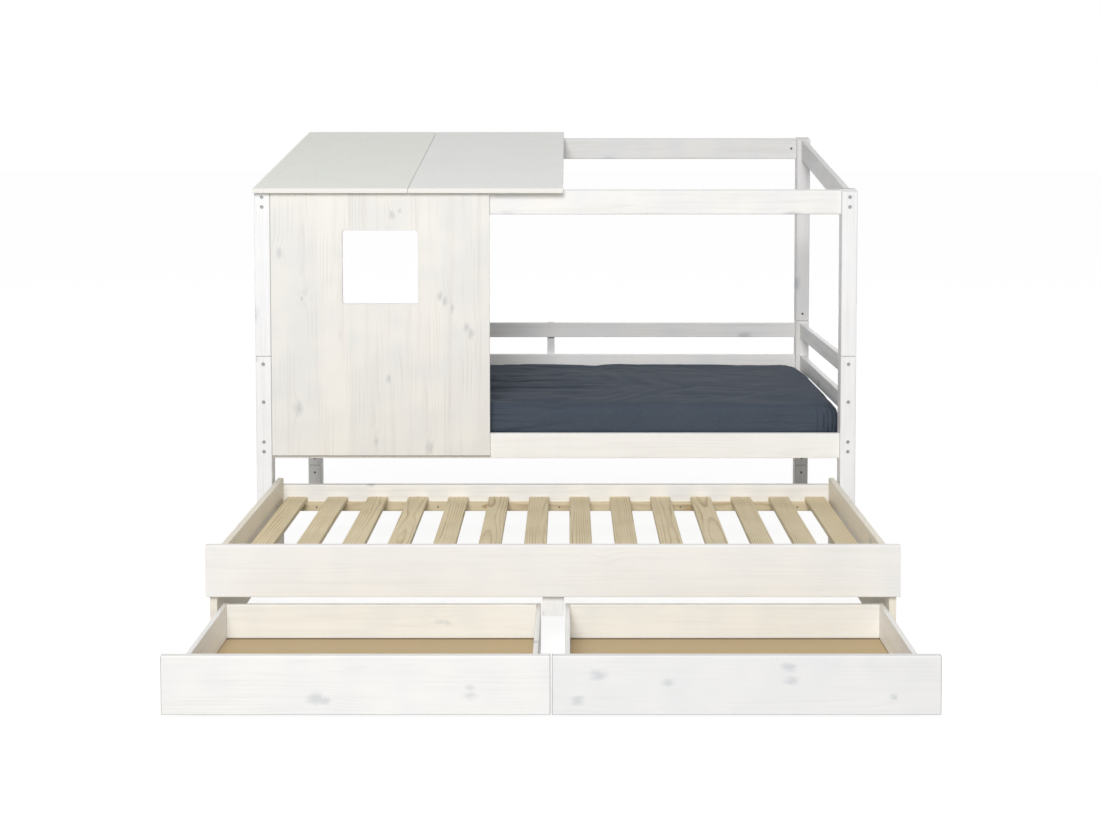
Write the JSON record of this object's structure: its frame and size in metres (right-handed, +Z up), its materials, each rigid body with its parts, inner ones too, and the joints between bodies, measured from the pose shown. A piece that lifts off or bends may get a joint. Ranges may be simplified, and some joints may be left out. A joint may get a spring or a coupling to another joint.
{
  "type": "house bed with trundle",
  "caption": "Low cabin bed with a house roof and windowed wall over one end, guard rails, a mattress, a roll-out slatted guest bed and storage drawers beneath it.",
  "frame": {"origin": "on the floor, under the middle of the whole object with the guest bed and drawers pulled out as in the picture", "axes": "+X to the right along the bed, +Y from the drawers' fronts to the back of the bed, +Z up"},
  "size_m": [2.081, 2.343, 1.4882],
  "materials": {
    "whitewashed_pine": "thin white glaze on pine, satin",
    "raw_pine": "planed, untreated",
    "hardboard": "smooth brown hardboard",
    "mattress_cover": "dark slate blue cotton sheet",
    "wheel_plastic": "grey moulded nylon"
  },
  "bodies": {
    "bed": {"foot_front_left": "whitewashed_pine", "lower_post_front_left": "whitewashed_pine", "upper_post_front_left": "whitewashed_pine", "foot_front_right": "whitewashed_pine", "lower_post_front_right": "whitewashed_pine", "upper_post_front_right": "whitewashed_pine", "foot_back_left": "whitewashed_pine", "lower_post_back_left": "whitewashed_pine", "upper_post_back_left": "whitewashed_pine", "foot_back_right": "whitewashed_pine", "lower_post_back_right": "whitewashed_pine", "upper_post_back_right": "whitewashed_pine", "front_side_rail": "whitewashed_pine", "front_top_rail": "whitewashed_pine", "back_side_rail": "whitewashed_pine", "back_top_rail": "whitewashed_pine", "lower_guard_back": "whitewashed_pine", "upper_guard_back": "whitewashed_pine", "end_rail_left": "whitewashed_pine", "lower_guard_left": "whitewashed_pine", "upper_guard_left": "whitewashed_pine", "top_end_rail_left": "whitewashed_pine", "end_rail_right": "whitewashed_pine", "lower_guard_right": "whitewashed_pine", "upper_guard_right": "whitewashed_pine", "top_end_rail_right": "whitewashed_pine", "guard_batten": "whitewashed_pine", "wall_panel": "whitewashed_pine", "roof_panel_left": "whitewashed_pine", "roof_panel_right": "whitewashed_pine", "bed_slatted_base": "raw_pine", "mattress": "mattress_cover"},
    "trundle": {"trundle_front": "whitewashed_pine", "trundle_back": "whitewashed_pine", "trundle_side_left": "whitewashed_pine", "trundle_side_right": "whitewashed_pine", "trundle_slatted_base": "raw_pine", "drawer_guide": "whitewashed_pine"},
    "trundle_wheel_front_left": {"trundle_wheel_front_left": "wheel_plastic"},
    "trundle_wheel_back_left": {"trundle_wheel_back_left": "wheel_plastic"},
    "trundle_wheel_front_right": {"trundle_wheel_front_right": "wheel_plastic"},
    "trundle_wheel_back_right": {"trundle_wheel_back_right": "wheel_plastic"},
    "drawer_left": {"drawer_front_left": "whitewashed_pine", "drawer_back_left": "whitewashed_pine", "drawer_floor_left": "hardboard", "drawer_left_outer_side": "whitewashed_pine", "drawer_left_inner_side": "whitewashed_pine"},
    "drawer_wheel_left_outer_front": {"drawer_wheel_left_outer_front": "wheel_plastic"},
    "drawer_wheel_left_outer_back": {"drawer_wheel_left_outer_back": "wheel_plastic"},
    "drawer_wheel_left_inner_front": {"drawer_wheel_left_inner_front": "wheel_plastic"},
    "drawer_wheel_left_inner_back": {"drawer_wheel_left_inner_back": "wheel_plastic"},
    "drawer_right": {"drawer_front_right": "whitewashed_pine", "drawer_back_right": "whitewashed_pine", "drawer_floor_right": "hardboard", "drawer_right_outer_side": "whitewashed_pine", "drawer_right_inner_side": "whitewashed_pine"},
    "drawer_wheel_right_outer_front": {"drawer_wheel_right_outer_front": "wheel_plastic"},
    "drawer_wheel_right_outer_back": {"drawer_wheel_right_outer_back": "wheel_plastic"},
    "drawer_wheel_right_inner_front": {"drawer_wheel_right_inner_front": "wheel_plastic"},
    "drawer_wheel_right_inner_back": {"drawer_wheel_right_inner_back": "wheel_plastic"}
  },
  "joints": [
    {"name": "trundle_slide", "type": "slide", "parent": "bed", "child": "trundle", "axis": [0, 1, 0], "range_m": [-0.06, 0.8965]},
    {"name": "trundle_wheel_front_left_spin", "type": "hinge", "parent": "trundle", "child": "trundle_wheel_front_left", "pos_m": [-0.9632, -0.6495, 0.02], "axis": [1, 0, 0], "range_deg": [-2571, 173]},
    {"name": "trundle_wheel_back_left_spin", "type": "hinge", "parent": "trundle", "child": "trundle_wheel_back_left", "pos_m": [-0.9632, 0.1085, 0.02], "axis": [1, 0, 0], "range_deg": [-2571, 173]},
    {"name": "trundle_wheel_front_right_spin", "type": "hinge", "parent": "trundle", "child": "trundle_wheel_front_right", "pos_m": [0.9632, -0.6495, 0.02], "axis": [1, 0, 0], "range_deg": [-2571, 173]},
    {"name": "trundle_wheel_back_right_spin", "type": "hinge", "parent": "trundle", "child": "trundle_wheel_back_right", "pos_m": [0.9632, 0.1085, 0.02], "axis": [1, 0, 0], "range_deg": [-2571, 173]},
    {"name": "drawer_left_slide", "type": "slide", "parent": "trundle", "child": "drawer_left", "axis": [0, 1, 0], "range_m": [-0.03, 0.4265]},
    {"name": "drawer_wheel_left_outer_front_spin", "type": "hinge", "parent": "drawer_left", "child": "drawer_wheel_left_outer_front", "pos_m": [-0.9243, -1.0965, 0.0155], "axis": [1, 0, 0], "range_deg": [-1580, 112]},
    {"name": "drawer_wheel_left_outer_back_spin", "type": "hinge", "parent": "drawer_left", "child": "drawer_wheel_left_outer_back", "pos_m": [-0.9243, -0.7545, 0.0155], "axis": [1, 0, 0], "range_deg": [-1580, 112]},
    {"name": "drawer_wheel_left_inner_front_spin", "type": "hinge", "parent": "drawer_left", "child": "drawer_wheel_left_inner_front", "pos_m": [-0.0533, -1.0965, 0.0155], "axis": [1, 0, 0], "range_deg": [-1580, 112]},
    {"name": "drawer_wheel_left_inner_back_spin", "type": "hinge", "parent": "drawer_left", "child": "drawer_wheel_left_inner_back", "pos_m": [-0.0533, -0.7545, 0.0155], "axis": [1, 0, 0], "range_deg": [-1580, 112]},
    {"name": "drawer_right_slide", "type": "slide", "parent": "trundle", "child": "drawer_right", "axis": [0, 1, 0], "range_m": [-0.03, 0.4265]},
    {"name": "drawer_wheel_right_outer_front_spin", "type": "hinge", "parent": "drawer_right", "child": "drawer_wheel_right_outer_front", "pos_m": [0.9243, -1.0965, 0.0155], "axis": [1, 0, 0], "range_deg": [-1580, 112]},
    {"name": "drawer_wheel_right_outer_back_spin", "type": "hinge", "parent": "drawer_right", "child": "drawer_wheel_right_outer_back", "pos_m": [0.9243, -0.7545, 0.0155], "axis": [1, 0, 0], "range_deg": [-1580, 112]},
    {"name": "drawer_wheel_right_inner_front_spin", "type": "hinge", "parent": "drawer_right", "child": "drawer_wheel_right_inner_front", "pos_m": [0.0533, -1.0965, 0.0155], "axis": [1, 0, 0], "range_deg": [-1580, 112]},
    {"name": "drawer_wheel_right_inner_back_spin", "type": "hinge", "parent": "drawer_right", "child": "drawer_wheel_right_inner_back", "pos_m": [0.0533, -0.7545, 0.0155], "axis": [1, 0, 0], "range_deg": [-1580, 112]}
  ],
  "couplings": [
    {"joint": "trundle_wheel_front_left_spin", "follows": "trundle_slide", "rad_per_m": -50},
    {"joint": "trundle_wheel_back_left_spin", "follows": "trundle_slide", "rad_per_m": -50},
    {"joint": "trundle_wheel_front_right_spin", "follows": "trundle_slide", "rad_per_m": -50},
    {"joint": "trundle_wheel_back_right_spin", "follows": "trundle_slide", "rad_per_m": -50},
    {"joint": "drawer_wheel_left_outer_front_spin", "follows": "drawer_left_slide", "rad_per_m": -64.516},
    {"joint": "drawer_wheel_left_outer_back_spin", "follows": "drawer_left_slide", "rad_per_m": -64.516},
    {"joint": "drawer_wheel_left_inner_front_spin", "follows": "drawer_left_slide", "rad_per_m": -64.516},
    {"joint": "drawer_wheel_left_inner_back_spin", "follows": "drawer_left_slide", "rad_per_m": -64.516},
    {"joint": "drawer_wheel_right_outer_front_spin", "follows": "drawer_right_slide", "rad_per_m": -64.516},
    {"joint": "drawer_wheel_right_outer_back_spin", "follows": "drawer_right_slide", "rad_per_m": -64.516},
    {"joint": "drawer_wheel_right_inner_front_spin", "follows": "drawer_right_slide", "rad_per_m": -64.516},
    {"joint": "drawer_wheel_right_inner_back_spin", "follows": "drawer_right_slide", "rad_per_m": -64.516}
  ]
}
